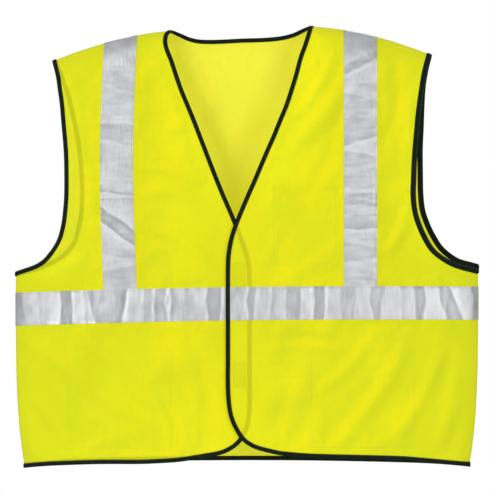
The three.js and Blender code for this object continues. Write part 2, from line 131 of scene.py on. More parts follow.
RIGHT_HEM = [
    (60, -659.5), (94, -664.8), (125, -667), (156, -668.3), (217, -668.6), (279, -670.8),
    (310, -672.8), (344, -676),
]
BACK_HEM = [(0, -665), (90, -665.5), (200, -667.5), (280, -670), (344, -674.5)]
# Armholes: (outwards, height), from the shoulder down to the underarm.
LEFT_ARMHOLE = [
    (289, -48), (282, -72), (277.5, -95), (273.5, -119), (270.3, -142), (266.5, -188), (265, -234),
    (264.2, -257), (266.4, -280), (273.3, -303), (283.8, -326), (298.5, -347), (322.5, -364), (357, -375.5),
]
RIGHT_ARMHOLE = [
    (289, -48), (282.5, -72), (279, -95), (276, -119), (274.2, -142), (270, -188), (268.5, -220),
    (268.5, -257), (270, -280), (273, -303), (279.5, -326), (292, -348), (313, -366), (357, -380),
]
BACK_ARMHOLE_TOP = [(289, -48), (281, -72), (275, -95), (271, -119), (268, -142), (263, -188)]
BACK_LEFT_ARMHOLE = BACK_ARMHOLE_TOP + [
    (262.8, -234), (263.5, -257), (266.2, -280), (273.5, -302), (282.7, -321), (296.5, -341.5),
    (319, -358.5), (341, -365.5), (357, -369),
]
BACK_RIGHT_ARMHOLE = BACK_ARMHOLE_TOP + [
    (260, -234), (259.5, -257), (261, -285), (266, -312), (274, -334), (292, -354), (320, -368),
    (357, -380),
]
BACK_NECK = [(0, -16.5), (35, -16.8), (62, -15.4), (80, -11.5), (93, -6), (103, -1.8), (109, 0)]

# Sewn-on pieces
LEFT_TAPE_X = (158.5, 209.5)
RIGHT_TAPE_X = (160.5, 211.5)
# How far the wearer's right shoulder tape bows outwards at its middle
TAPE_SWAY = 6
LOWER_POCKET_X = (106, 268)
LOWER_POCKET_Z = (-490, -647)
CHEST_POCKET_X = (48, 148)
CHEST_POCKET_Z = (-240, -365)
STRIP_X = (-12.5, 6.5)
STRIP_HEIGHT = 38
STRIP_TOPS = (-361, -515)

# Folds in the cloth: both ends in flat coordinates, then width and height.
LEFT_FOLDS = [
    (150, -28, 78, -142, 9, 1.1), (168, -70, 66, -196, 14, 1.3), (150, -150, 96, -262, 12, -0.9),
    (238, -60, 229, -172, 11, -1.3), (256, -96, 246, -240, 9, 1.0), (330, -372, 232, -318, 10, 1.3),
    (262, -262, 222, -352, 9, 1.1), (150, -330, 52, -392, 12, 0.9), (30, -482, 160, -488, 9, -1.1),
    (262, -462, 152, -636, 14, 2.0), (312, -476, 236, -634, 12, 1.7), (206, -470, 120, -560, 11, 1.1),
    (338, -500, 300, -650, 13, 1.4), (96, -520, 60, -640, 15, 1.2), (60, -300, 26, -372, 9, 0.7),
]
RIGHT_FOLDS = [
    (-146, -34, -96, -150, 10, 1.2), (-126, -60, -70, -190, 9, -0.8), (-152, -214, -66, -236, 8, 0.9),
    (-150, -250, -58, -272, 11, 0.8), (-262, -150, -226, -316, 10, 1.3), (-276, -96, -226, -60, 9, 0.9),
    (-246, -90, -240, -220, 11, -1.1), (-322, -372, -246, -330, 9, 1.3), (-150, -300, -36, -376, 12, 1.0),
    (-328, -484, -142, -648, 16, 2.0), (-140, -566, -104, -640, 8, 1.2), (-250, -466, -172, -560, 12, 1.2),
    (-110, -468, -60, -610, 14, 1.1), (-334, -560, -262, -660, 11, 1.3), (-180, -600, -120, -652, 9, -1.0),
]
BACK_FOLDS = [
    (-120, -60, -40, -240, 18, 1.4), (110, -50, 30, -230, 18, 1.5), (0, -60, 8, -330, 24, 1.2),
    (-240, -120, -150, -360, 15, 1.6), (236, -110, 160, -350, 15, 1.5), (-300, -470, -180, -650, 17, 2.0),
    (290, -470, 200, -640, 16, 1.9), (-60, -470, -20, -640, 18, 1.6), (70, -480, 110, -650, 16, 1.6),
    (-330, -380, -230, -330, 10, 1.3), (330, -380, 236, -326, 10, 1.3), (150, -200, 60, -380, 20, 1.2),
]

# Creases across the tapes: where the crease meets one edge and the other, its height and its width.
# A waist crease gives x at the top and bottom edge, and a shoulder crease z at the inner and outer one.
FRONT_WAIST_CREASES = [
    (-345, -331, -0.9, 7), (-318, -309, 0.35, 6), (-280, -277, 1.0, 7), (-262, -258, -0.9, 5),
    (-243, -240, 0.3, 2.5), (-238, -223, 0.7, 7), (-176, -183, -0.9, 6), (-150, -152, 0.35, 4),
    (-131, -134, 0.4, 3), (-117, -115, -0.35, 2.5), (-108, -109, 0.35, 2.5), (-88, -90, 0.4, 7),
    (-53, -51, 0.9, 7), (-31, -31, -0.9, 5), (11, 11, 0.8, 3), (22, 20, -0.6, 5), (48, 42, 0.35, 3.5),
    (70, 71, 0.7, 7), (91, 89, -0.7, 6), (112, 111, 0.9, 6), (126, 126, -1.1, 4), (150, 158, 0.5, 8),
    (176, 172, -0.5, 7), (197, 203, 0.7, 6), (220, 212, -0.7, 6), (246, 250, 0.3, 4), (268, 270, 0.9, 6),
    (285, 283, -0.8, 6), (302, 314, 0.6, 5), (318, 338, -0.6, 5), (350, 350, 0.8, 8),
]
BACK_WAIST_CREASES = [
    (-320, -312, 0.8, 8), (-286, -290, -0.8, 6), (-238, -229, 0.7, 7), (-205, -208, -0.6, 6),
    (-150, -143, 0.8, 8), (-118, -120, -0.8, 6), (-70, -64, 0.5, 5), (-30, -34, 0.8, 7), (-8, -5, -0.7, 5),
    (44, 50, 0.8, 8), (78, 74, -0.7, 6), (126, 132, 0.6, 6), (170, 166, -0.6, 6), (206, 212, 0.8, 7),
    (240, 236, -0.8, 6), (282, 290, 0.7, 7), (316, 312, -0.7, 6),
]
LEFT_SHOULDER_CREASES = [
    (-75, -54, 0.9, 7), (-62, -40, -0.4, 4), (-103, -112, -0.5, 5), (-128, -124, 0.3, 3),
    (-180, -165, 0.9, 6), (-190, -196, -0.5, 4), (-214, -210, 0.3, 3), (-246, -250, 0.4, 3),
    (-258, -255, -0.35, 3), (-272, -276, 0.4, 3), (-290, -286, -0.35, 3), (-311, -309, 0.9, 5),
    (-330, -336, -0.5, 6), (-362, -352, 0.6, 6), (-384, -386, -0.4, 4),
]
RIGHT_SHOULDER_CREASES = [
    (-100, -84, 0.5, 6), (-66, -62, -0.3, 5), (-112, -118, 0.3, 4), (-148, -146, -1.1, 6),
    (-134, -136, 0.4, 4), (-182, -172, 0.4, 3), (-200, -206, 0.3, 4), (-236, -232, -0.35, 4),
    (-259, -253, 1.2, 2), (-260, -263, -1.2, 2), (-313, -277, -1.7, 5), (-338, -303, 1.7, 5),
    (-356, -350, 0.5, 5), (-366, -372, -0.5, 5),
]
BACK_SHOULDER_CREASES = [
    (-70, -84, 0.8, 7), (-110, -104, -0.6, 5), (-150, -160, 0.7, 6), (-196, -190, -0.7, 6),
    (-240, -250, 0.8, 7), (-284, -280, -0.5, 5), (-330, -342, 0.7, 6), (-374, -370, -0.5, 5),
]

# How strongly the listed folds and creases stand out
FOLD_STRENGTH = 2.4
WAIST_CREASE_STRENGTH = 1.55
SHOULDER_CREASE_STRENGTH = 0.9

# How far from a seam the cloth is still held, and the stretch of x where the fronts' overlap lets go
SEAM_HOLDS_FOR = 42
OVERLAP_HOLDS_OVER = (22, 62)

# The cloth simulation: the grid of each sheet, how much longer its threads are than the flat cut,
# how strongly it is pulled down, and the tallest wrinkle that is kept
SIM_STEP = 9.0
SIM_FRAMES = 32
SIM_GROWTH = 0.012
SIM_GRAVITY = 1.0
SIM_HELD_RIM = 13.0
TALLEST_WRINKLE = 4.5

# Mesh fineness
CLOTH_STEP = 5.0
TAPE_STEP = 2.0
BINDING_STEP = 3.0

# Binding tape folded over an edge: its section, outwards from the edge and along the normal.
BINDING_TOP = [
    (2.6, 0), (2.3, 0.9), (1.5, 1.45), (0.2, 1.6), (-1.3, 1.55), (-2.8, 1.5), (-3.9, 1.35), (-4.3, 0.8),
]
BINDING_SECTION = BINDING_TOP + [(out, -up) for out, up in reversed(BINDING_TOP[1:])]
# The binding lies flatter, and so wider, round the wearer's left armhole.
LEFT_ARMHOLE_SPREAD = 1.25
BINDING_STITCH_OUT = -3.2
BINDING_STITCH_UP = 1.55

# Trim
STITCH_INSET = 2.2
EDGE_ROOM = 4.1
POCKET_SLACK = 1.6
POCKET_HEM = 15
POCKET_STITCH_INSET = 2
SEAM_DEPTH = 7
SEAM_INSET = 1.2
SEAM_STEP = 2.0
STRIP_BASE = 0.35
STRIP_STITCH_INSET = 1.2

# One stitch, along the row, across it and out of the cloth
STITCH_PITCH = 3.4
STITCH = np.array([
    (-1.35, 0, -0.15), (-0.8, 0.3, 0), (-0.8, 0, 0.28), (-0.8, -0.3, 0),
    (0.8, 0.3, 0), (0.8, 0, 0.28), (0.8, -0.3, 0), (1.35, 0, -0.15),
])
STITCH_FACES = [
    (0, 2, 1), (0, 3, 2), (0, 1, 3), (1, 2, 5, 4), (2, 3, 6, 5), (3, 1, 4, 6), (7, 4, 5), (7, 5, 6),
    (7, 6, 4),
]

# The light and the camera, in metres and watts
WORLD_LIGHT = 0.55
LAMPS = [
    ("key_light", (-2.6, -3.8, 1.4), (0, 0, -0.3), 2.2, 112),
    ("fill_light", (2.4, -4.0, -0.3), (0, 0, -0.3), 2.4, 66),
    ("rim_light", (0.4, 2.4, 1.0), (0, 0, -0.3), 1.6, 30),
]
CAMERA_AT = (0.0092, -11.0, -0.337)
VEST_FACE_Y = -0.04
VIEW_WIDTH = 0.761

# ---- curves and noise


def smoothstep(start, end, value):
    share = np.clip((value - start) / (end - start), 0, 1)
    return share * share * (3 - 2 * share)


def rounded_off(share):
    """A quarter ellipse: 0 at the edge itself, 1 from a full share of the way in."""
    return np.sqrt(1 - (1 - np.clip(share, 0, 1)) ** 2)


def between(a, b, c, d, s, t):
    """Between four corners of a cell: s leads from a to b and from c to d, and t from the first pair on."""
    s, t = smoothstep(0, 1, s), smoothstep(0, 1, t)
    return (a * (1 - s) + b * s) * (1 - t) + (c * (1 - s) + d * s) * t


def noise(x, z, size, seed):
    """Smooth noise from -1 to 1, with bumps about size across."""
    cells = 64
    table = np.random.default_rng(seed).uniform(-1, 1, (cells, cells))
    u, v = x / size, z / size
    i, j = np.floor(u).astype(int), np.floor(v).astype(int)
    s, t = u - i, v - j
    i, j = i % cells, j % cells
    next_i, next_j = (i + 1) % cells, (j + 1) % cells
    return between(table[i, j], table[next_i, j], table[i, next_j], table[next_i, next_j], s, t)


def curve_through(knots, step=1.0):
    """Points about step apart on a smooth curve through the knots."""
    knots = np.array(knots, float)
    padded = [2 * knots[0] - knots[1], *knots, 2 * knots[-1] - knots[-2]]
    runs = []
    for a, b, c, d in zip(padded, padded[1:], padded[2:], padded[3:]):
        count = max(round(math.dist(b, c) / step), 1)
        t = (np.arange(count) / count)[:, None]
        cubic = (3 * b - a - 3 * c + d) * t**3
        runs.append(0.5 * (2 * b + (c - a) * t + (2 * a - 5 * b + 4 * c - d) * t**2 + cubic))
    return np.vstack([*runs, knots[-1]])


def both_halves(knots):
    """The curve through the knots, from the middle outwards, after its mirror image."""
    half = curve_through(knots)
    return np.vstack([(half * [-1, 1])[:0:-1], half])


def distances(points):
    """How far along a line each of its points is."""
    return np.concatenate([[0], np.cumsum(np.linalg.norm(np.diff(points, axis=0), axis=1))])


def spots(points, along, wanted):
    """What a line of points, which are at distances along, has at the wanted distances."""
    return np.column_stack([np.interp(wanted, along, column) for column in points.T])


def even_steps(length, step):
    return np.linspace(0, length, max(round(length / step), 1) + 1)


def evenly(points, step):
    """The same line with points an even step apart, its ends kept."""
    along = distances(points)
    return spots(points, along, even_steps(along[-1], step))


def flat_list(x, z):
    """Grids of x and z as one list of flat points."""
    return np.column_stack([x.ravel(), z.ravel()])


# ---- the hanging surfaces


def shoulder_height(out):
    share = np.maximum(out - NECK_HALF_WIDTH, 0) / (SHOULDER_HALF_WIDTH - NECK_HALF_WIDTH)
    return -SHOULDER_DROP * share**SHOULDER_CURVE


def side_width(z):
    down = np.clip((UNDERARM_Z - z) / (UNDERARM_Z - HEM_CORNER_Z), 0, 1)
    return UNDERARM_X - SIDE_TAPER * down**4


def shoulder_rounding(out, z):
    return rounded_off((shoulder_height(out) - z) / SHOULDER_ROUND)


def side_rounding(out, z, flat_half_width):
    return rounded_off((side_width(z) - out) / (side_width(z) - flat_half_width))


def hung(x, y, z):
    """The back hangs a little to the wearer's left of the front."""
    shift = HANG_SHIFT * np.clip((y + 30) / 45, 0, 1) * smoothstep(0, HANG_SHIFT_HEIGHT, -z)
    return np.stack([x + shift, y, z], -1)


def front_surface(side):
    def surface(x, z):
        out = side * x
        rounding = side_rounding(out, z, FOLD_X) * shoulder_rounding(out, z)
        lean = side * FLAP_LEAN * np.maximum(FOLD_X - out, 0) / FLAP_REACH
        return hung(x, -SEAM_GAP / 2 - (FRONT_DEPTH - FRONT_FLARE * z) * rounding - lean, z)

    return surface


def back_surface(x, z):
    out = np.abs(x)
    rounding = side_rounding(out, z, BACK_FLAT_HALF_WIDTH) * shoulder_rounding(out, z)
    return hung(x, SEAM_GAP / 2 + BACK_DEPTH * rounding, z)


def tilted(points):
    """Raises the wearer's left shoulder and lowers the right one."""
    places, rises = zip(*SHOULDER_RISE)
    fade = 1 - smoothstep(RISE_FADES_FROM, RISE_FADES_TO, -points[..., 2])
    points[..., 2] += np.interp(points[..., 0], places, rises) * fade
    return points


def waist_top(x):
    """The waist tape's top edge, which isn't quite level."""
    share = x / UNDERARM_X
    return WAIST_TAPE_TOP + WAIST_TAPE_TILT * share - WAIST_TAPE_BOW * share * share


# ---- relief: folds, creases and waves


def fold_relief(folds, x, z):
    """Soft folds, each a crest between two shallow troughs that dies away at both ends."""
    height = np.zeros_like(x)
    for x1, z1, x2, z2, width, tall in folds:
        length = math.dist((x1, z1), (x2, z2))
        along_x, along_z = (x2 - x1) / length, (z2 - z1) / length
        along = ((x - x1) * along_x + (z - z1) * along_z) / length
        bow = 0.06 * length * np.sin(np.pi * np.clip(along, 0, 1))
        across = ((x - x1) * along_z - (z - z1) * along_x + bow) / width
        ends = smoothstep(-0.15, 0.3, along) * (1 - smoothstep(0.7, 1.15, along))
        height += FOLD_STRENGTH * tall * ends * (1 - across**2) * np.exp(-0.6 * across**2)
    return height


def crease_relief(creases, along, across):
    """Sharp creases over a tape. across runs from 0 at one edge to 1 at the other."""
    height = np.zeros_like(along)
    for start, end, tall, width in creases:
        crest = start + (end - start) * across + 2.4 * noise(across * 2.3, 0 * across + start, 1.0, 13)
        height += tall * np.exp(-np.sqrt((along - crest) ** 2 + 0.9) / width)
    return height


class Tape:
    """A tape on the cloth: its creases, and for an upright one the stretch of x that it covers."""

    def __init__(self, creases, span, upright):
        self.creases, self.span, self.upright = creases, span, upright
        self.strength = SHOULDER_CREASE_STRENGTH if upright else WAIST_CREASE_STRENGTH

    def relief(self, x, z):
        if self.upright:
            along, across = z, (np.abs(x) - self.span[0]) / TAPE_WIDTH
        else:
            along, across = x, (waist_top(x) - z) / TAPE_WIDTH
        over = np.abs(across - 0.5) * TAPE_WIDTH
        fade = 1 - smoothstep(TAPE_WIDTH / 2, TAPE_WIDTH / 2 + 14, over)
        if self.upright:
            fade = fade * smoothstep(-405, -385, z)
        crumple = noise(along, across * 14, 4.2, 11) * 0.10 + noise(along, across * 30, 9, 12) * 0.16
        return (self.strength * crease_relief(self.creases, along, across) + crumple) * fade

    # This slope is also painted into the tape's colour as light and shade.
    def slope(self, x, z):
        """How steeply the tape rises along its length."""
        if self.upright:
            return (self.relief(x, z + 1) - self.relief(x, z - 1)) / 2
        return (self.relief(x + 1, z) - self.relief(x - 1, z)) / 2


class Cloth:
    """One panel: where its flat coordinates lie in space, and the relief of the cloth there."""

    def __init__(self, surface, facing, folds, tapes, seed):
        self.surface, self.facing, self.seed = surface, facing, seed
        self.folds, self.tapes, self.wrinkles = folds, tapes, None

    def relief(self, x, z):
        height = fold_relief(self.folds, x, z)
        height += 0.9 * noise(x, z, 74, self.seed) + 0.45 * noise(x, z, 31, self.seed + 1)
        if self.wrinkles is not None:
            height += self.wrinkles.at(x, z)
        height *= self.looseness(x, z)
        for tape in self.tapes:
            height += tape.relief(x, z) * smoothstep(0, 9, side_width(z) - np.abs(x))
        return height

    # This slope is also painted into the fabric's colour as light and shade.
    def slope(self, x, z):
        """How far the cloth faces up and to the viewer's left, less where it turns to a seam."""
        across = self.relief(x + 2, z) - self.relief(x - 2, z)
        up = self.relief(x, z + 2) - self.relief(x, z - 2)
        turn = np.abs(self.surface(x + 2, z) - self.surface(x - 2, z))[..., 1]
        return (across - up - 3 * np.minimum(turn, 0.8)) / 4

    def held_by_tape(self, x, z):
        """Where the tapes keep the cloth flat."""
        reach = TAPE_WIDTH / 2 + 3
        held = np.abs(waist_top(x) - z - TAPE_WIDTH / 2) < reach
        span = self.tapes[1].span
        return held | ((np.abs(np.abs(x) - sum(span) / 2) < reach) & (z > waist_top(x)))

    def looseness(self, x, z):
        """0 along the seams and the overlap of the fronts, and 1 on the open cloth."""
        out = np.abs(x)
        seam = np.minimum(side_width(z) - out, shoulder_height(out) - z)
        loose = smoothstep(0, SEAM_HOLDS_FOR, seam)
        if self.facing > 0:
            loose = loose * (0.12 + 0.88 * smoothstep(*OVERLAP_HOLDS_OVER, out))
        return loose

    def normal(self, x, z):
        nudge = 0.4
        across = self.surface(x + nudge, z) - self.surface(x - nudge, z)
        up = self.surface(x, z + nudge) - self.surface(x, z - nudge)
        normal = np.cross(across, up) * self.facing
        return normal / np.linalg.norm(normal, axis=-1, keepdims=True)

    def points(self, x, z, offset=0.0):
        x, z = np.asarray(x, float), np.asarray(z, float)
        raised = self.relief(x, z) + offset
        return tilted(self.surface(x, z) + self.normal(x, z) * raised[..., None])


class Front:
    """A front: its cloth, its side of the wearer, and its edges."""

    def __init__(self, name, side, edge, hem, armholes, tape_x, folds, creases):
        self.name, self.side, self.tape_x = name, side, tape_x
        self.flap = name + "_front_flap"
        self.edge, self.hem = edge, hem
        self.armhole, self.back_armhole = armholes
        waist = Tape(FRONT_WAIST_CREASES, None, False)
        shoulder = Tape(creases, tape_x, True)
        self.cloth = Cloth(front_surface(side), 1, folds, [waist, shoulder], 20 + side)

    def flat(self, knots):
        return curve_through(knots) * [self.side, 1]


LEFT = Front(
    "left", 1, LEFT_EDGE, LEFT_HEM, (LEFT_ARMHOLE, BACK_LEFT_ARMHOLE), LEFT_TAPE_X, LEFT_FOLDS,
    LEFT_SHOULDER_CREASES,
)
RIGHT = Front(
    "right", -1, RIGHT_EDGE, RIGHT_HEM, (RIGHT_ARMHOLE, BACK_RIGHT_ARMHOLE), RIGHT_TAPE_X, RIGHT_FOLDS,
    RIGHT_SHOULDER_CREASES,
)
FRONTS = [LEFT, RIGHT]
BACK = Cloth(
    back_surface, -1, BACK_FOLDS,
    [Tape(BACK_WAIST_CREASES, None, False), Tape(BACK_SHOULDER_CREASES, LEFT_TAPE_X, True)], 31,
)

# ---- outlines


def side_seam(side, hem_z, underarm_z):
    z = np.linspace(hem_z, underarm_z, 160)
    return np.column_stack([side * side_width(z), z])


def ridge(side, start, end):
    out = np.linspace(start, end, 120)
    return np.column_stack([side * out, shoulder_height(out)])


def front_outline(front):
    """Down the front edge, along the hem, up the side and the armhole, and in over the shoulder."""
    up_armhole = front.flat(front.armhole)[::-1]
    side = side_seam(front.side, front.hem[-1][1], front.armhole[-1][1])
    top = ridge(front.side, SHOULDER_HALF_WIDTH, front.edge[0][0])
    return [front.flat(front.edge), front.flat(front.hem), side, up_armhole, top]


def back_outline():
    halves = []
    for front in FRONTS:
        neck = front.flat(BACK_NECK)
        top = ridge(front.side, NECK_HALF_WIDTH, SHOULDER_HALF_WIDTH)
        armhole = front.flat(front.back_armhole)
        seam = side_seam(front.side, BACK_HEM[-1][1], front.back_armhole[-1][1])[::-1]
        hem = front.flat(BACK_HEM)[::-1]
        halves.append([neck, top, armhole, seam, hem])
    return halves[0] + [part[::-1] for part in reversed(halves[1])]


def closed_ring(parts, step):
    """One ring of points a step apart, from the parts of an outline in order."""
    return np.vstack([evenly(part, step)[:-1] for part in parts])


# ---- meshes


def new_object(name, points, faces, flat=None, sharp=None):
    """A mesh object from points in millimetres, with flat coordinates in metres as its UV map."""
    mesh = bpy.data.meshes.new(name)
    mesh.from_pydata((np.asarray(points) * METRES).tolist(), [], [tuple(map(int, f)) for f in faces])
    mesh.polygons.foreach_set("use_smooth", [True] * len(mesh.polygons))
    if sharp is not None:
        mesh.set_sharp_from_angle(angle=math.radians(sharp))
    if flat is not None:
        corners = np.empty(len(mesh.loops), int)
        mesh.loops.foreach_get("vertex_index", corners)
        layer = mesh.uv_layers.new(name="flat")
        layer.data.foreach_set("uv", (np.asarray(flat)[corners] * METRES).ravel())
    piece = bpy.data.objects.new(name, mesh)
    bpy.context.scene.collection.objects.link(piece)
    return piece


def nearest_gap(points, ring):
    """How far each point is from the ring."""
    gaps = np.full(len(points), np.inf)
    for a, b in zip(ring, np.roll(ring, -1, axis=0)):
        run = b - a
        share = np.clip((points - a) @ run / max(run @ run, 1e-12), 0, 1)
        gaps = np.minimum(gaps, np.hypot(*(points - a - share[:, None] * run).T))
    return gaps


def hexagonal_points(ring, step):
    low, high = ring.min(0), ring.max(0)
    rows = np.arange(low[1], high[1], step * math.sqrt(3) / 2)
    columns = np.arange(low[0], high[0], step)
    return np.array([(x + (k % 2) * step / 2, z) for k, z in enumerate(rows) for x in columns])


def inside(points, ring):
    """Which points lie inside the ring, by counting its crossings of a ray along x."""
    within = np.zeros(len(points), bool)
    for (x1, z1), (x2, z2) in zip(ring, np.roll(ring, -1, axis=0)):
        if z1 == z2:
            continue
        spans = (z1 > points[:, 1]) != (z2 > points[:, 1])
        crossing = x1 + (points[:, 1] - z1) * (x2 - x1) / (z2 - z1)
        within ^= spans & (points[:, 0] < crossing)
    return within


def inner_rings(ring, gaps):
    """Points at small gaps inside the ring, where the surface turns sharply into a seam."""
    along = np.roll(ring, -1, axis=0) - np.roll(ring, 1, axis=0)
    across = np.column_stack([-along[:, 1], along[:, 0]])
    across /= np.linalg.norm(across, axis=1, keepdims=True)
    rings = []
    for gap in gaps:
        for way in (1, -1):
            moved = ring + across * gap * way
            kept = inside(moved, ring) & (nearest_gap(moved, ring) > 0.9 * gap)
            rings.append(moved[kept])
    return np.vstack(rings)


def cut_flat(parts, step):
    """Flat points and triangles of a piece of cloth cut to an outline."""
    ring = closed_ring(parts, step)
    gaps = (0.5, 1.5, 3.2)
    filling = hexagonal_points(ring, step)
    filling = filling[inside(filling, ring)]
    filling = filling[nearest_gap(filling, ring) > gaps[-1] + 0.45 * step]
    points = np.vstack([ring, inner_rings(ring, gaps), filling])
    loop = list(range(len(ring)))
    made = delaunay_2d_cdt([Vector(p) for p in points], [], [loop], 1, 1e-4)
    return np.array([tuple(p) for p in made[0]]), made[2]


def cloth_panel(name, cloth, parts):
    flat, faces = cut_flat(parts, CLOTH_STEP)
    faces = [f[::-1] if turns(flat, f) * cloth.facing < 0 else f for f in faces]
    panel = new_object(name, cloth.points(*flat.T), faces, flat)
    mark_slope(panel, cloth.slope(*flat.T))
    return panel


def mark_slope(piece, slope):
    """Keeps how each point slopes, for a material that is duller where that is low.

    This paints shading in, as the photo has it, whatever the lamps do: on the cloth the light and shade of
    its folds and the shade of its turn into the seams, on the tapes the light and shade of their creases'
    facets.
    """
    marks = piece.data.attributes.new("slope", "FLOAT", "POINT")
    marks.data.foreach_set("value", slope.astype(np.float32))


def turns(flat, face):
    """Positive where a flat face runs anticlockwise seen from the front."""
    a, b, c = (flat[k] for k in face[:3])
    return (b[0] - a[0]) * (c[1] - a[1]) - (b[1] - a[1]) * (c[0] - a[0])


def closed_sheet(name, skins, flat, sharp=None):
    """A closed mesh between two skins, each a grid of points."""
    rows, columns = skins[0].shape[:2]
    behind = rows * columns
    faces = grid_faces(rows, columns)
    faces += [tuple(k + behind for k in reversed(face)) for face in faces]
    border = grid_border(rows, columns)
    faces += [(a, b, b + behind, a + behind) for a, b in zip(border, border[1:] + border[:1])]
    points = np.vstack([skin.reshape(-1, 3) for skin in skins])
    return outward_faces(new_object(name, points, faces, np.vstack([flat, flat]), sharp))


def grid_faces(rows, columns):
    starts = [i * columns + j for i in range(rows - 1) for j in range(columns - 1)]
    return [(k, k + columns, k + columns + 1, k + 1) for k in starts]


def grid_border(rows, columns):
    places = np.arange(rows * columns).reshape(rows, columns)
    sides = [places[0], places[1:, -1], places[-1, -2::-1], places[-2:0:-1, 0]]
    return np.concatenate(sides).tolist()


def outward_faces(piece):
    """Turns a closed mesh's faces to point out of it."""
    work = bmesh.new()
    work.from_mesh(piece.data)
    bmesh.ops.recalc_face_normals(work, faces=work.faces)
    work.to_mesh(piece.data)
    work.free()
    return piece


# ---- cloth simulation


class Wrinkles:
    """How a panel buckles when its cloth is a little too long, held along its seams and under its tapes."""

    def __init__(self, cloth, ring):
        self.low = ring.min(0) - SIM_STEP
        count = np.ceil((ring.max(0) - self.low) / SIM_STEP).astype(int) + 2
        x, z = np.meshgrid(*[self.low[k] + np.arange(count[k]) * SIM_STEP for k in (0, 1)])
        flat = flat_list(x, z)
        held = ~inside(flat, ring) | (nearest_gap(flat, ring) < SIM_HELD_RIM)
        held |= cloth.held_by_tape(*flat.T)
        start = np.where(held, 0, noise(*flat.T, 38, cloth.seed + 2))
        points = np.column_stack([flat[:, 0], start, flat[:, 1]])
        sheet = new_object("simulated_sheet", points, grid_faces(*x.shape))
        hold(sheet, held)
        settled = settle(sheet)[:, 1].reshape(x.shape)
        self.height = TALLEST_WRINKLE * np.tanh(-cloth.facing * settled / TALLEST_WRINKLE)

    def at(self, x, z):
        """The wrinkles' height at flat points, between the four nearest of the grid."""
        column, row = (x - self.low[0]) / SIM_STEP, (z - self.low[1]) / SIM_STEP
        last_row, last_column = np.array(self.height.shape) - 2
        j = np.clip(np.floor(column).astype(int), 0, last_column)
        i = np.clip(np.floor(row).astype(int), 0, last_row)
        corners = [self.height[i + up, j + over] for up in (0, 1) for over in (0, 1)]
        return between(*corners, column - j, row - i)


def hold(sheet, held):
    """Makes the sheet a cloth, fixed at its held points. Its mass and stiffness are given here."""
    group = sheet.vertex_groups.new(name="held")
    group.add([int(k) for k in np.flatnonzero(held)], 1.0, "REPLACE")
    cloth = sheet.modifiers.new("cloth", "CLOTH")
    cloth.point_cache.frame_start = 1
    cloth.point_cache.frame_end = SIM_FRAMES
    cloth.collision_settings.use_collision = False
    settings = cloth.settings
    settings.quality = 8
    settings.mass = 0.00001
    settings.tension_stiffness = settings.compression_stiffness = 8
    settings.shear_stiffness = 3
    settings.bending_stiffness = 5
    settings.shrink_min = -SIM_GROWTH
    settings.effector_weights.gravity = SIM_GRAVITY
    settings.vertex_group_mass = group.name


def settle(sheet):
    """Runs the simulation, takes the sheet away again and returns where its points came to rest."""
    scene = bpy.context.scene
    for frame in range(1, SIM_FRAMES + 1):
        scene.frame_set(frame)
    mesh = sheet.evaluated_get(bpy.context.evaluated_depsgraph_get()).to_mesh()
    places = np.empty(len(mesh.vertices) * 3)
    mesh.vertices.foreach_get("co", places)
    bpy.data.objects.remove(sheet)
    scene.frame_set(1)
    return places.reshape(-1, 3) / METRES


def simulate():
    """Gives the fronts and the back their simulated wrinkles."""
    for front in FRONTS:
        front.cloth.wrinkles = Wrinkles(front.cloth, closed_ring(front_outline(front), 6))
    BACK.wrinkles = Wrinkles(BACK, closed_ring(back_outline(), 6))


# ---- materials


class Material:
    """A Principled material and short ways to add nodes to it."""

    def __init__(self, name, **settings):
        self.data = bpy.data.materials.new(name)
        self.data.use_nodes = True
        self.nodes, self.links = self.data.node_tree.nodes, self.data.node_tree.links
        self.shader = self.nodes["Principled BSDF"]
        for socket, value in settings.items():
            self.shader.inputs[socket.replace("_", " ")].default_value = value

    def node(self, kind, inputs=None, **settings):
        made = self.nodes.new("ShaderNode" + kind)
        for name, value in settings.items():
            setattr(made, name, value)
        for name, value in (inputs or {}).items():
            self.put(made.inputs[name], value)
        return made

    def put(self, socket, value):
        if isinstance(value, bpy.types.NodeSocket):
            self.links.new(value, socket)
        else:
            socket.default_value = value

    def flat(self, stretch=(1, 1, 1)):
        """The piece's flat coordinates, in metres, stretched along each axis."""
        coordinates = self.node("UVMap", uv_map="flat").outputs[0]
        return self.node("Mapping", {"Vector": coordinates, "Scale": stretch}).outputs[0]

    def attribute(self, name):
        return self.node("Attribute", attribute_name=name).outputs["Fac"]

    def maths(self, operation, *values):
        made = self.node("Math", operation=operation)
        for socket, value in zip(made.inputs, values):
            self.put(socket, value)
        return made.outputs[0]

    def total(self, first, *others):
        for other in others:
            first = self.maths("ADD", first, other)
        return first

    def bands(self, period, direction, where):
        """Even bands of one period, in metres."""
        scale = 2 * math.pi / (20 * period)
        wave = self.node("TexWave", {"Vector": where, "Scale": scale}, bands_direction=direction)
        return wave.outputs["Fac"]

    def specks(self, size, where, detail=2.0):
        inputs = {"Vector": where, "Scale": 1 / size, "Detail": detail}
        return self.node("TexNoise", inputs).outputs["Fac"]

    def range(self, value, low, high, start=0.0, end=1.0):
        names = {"Value": value, "From Min": start, "From Max": end, "To Min": low, "To Max": high}
        return self.node("MapRange", names).outputs[0]

    def blend(self, share, first, second):
        made = self.node("Mix", data_type="RGBA")
        self.put(made.inputs[0], share)
        self.put(made.inputs[6], (*first, 1) if isinstance(first, tuple) else first)
        self.put(made.inputs[7], (*second, 1) if isinstance(second, tuple) else second)
        return made.outputs[2]

    def finish(self, colour, roughness, height, depth):
        """Links the colour, the roughness and a bump of the given depth in metres."""
        self.put(self.shader.inputs["Base Color"], colour)
        self.put(self.shader.inputs["Roughness"], roughness)
        bump = self.node("Bump", {"Height": height, "Distance": depth, "Strength": 1.0})
        self.put(self.shader.inputs["Normal"], bump.outputs[0])
        return self.data


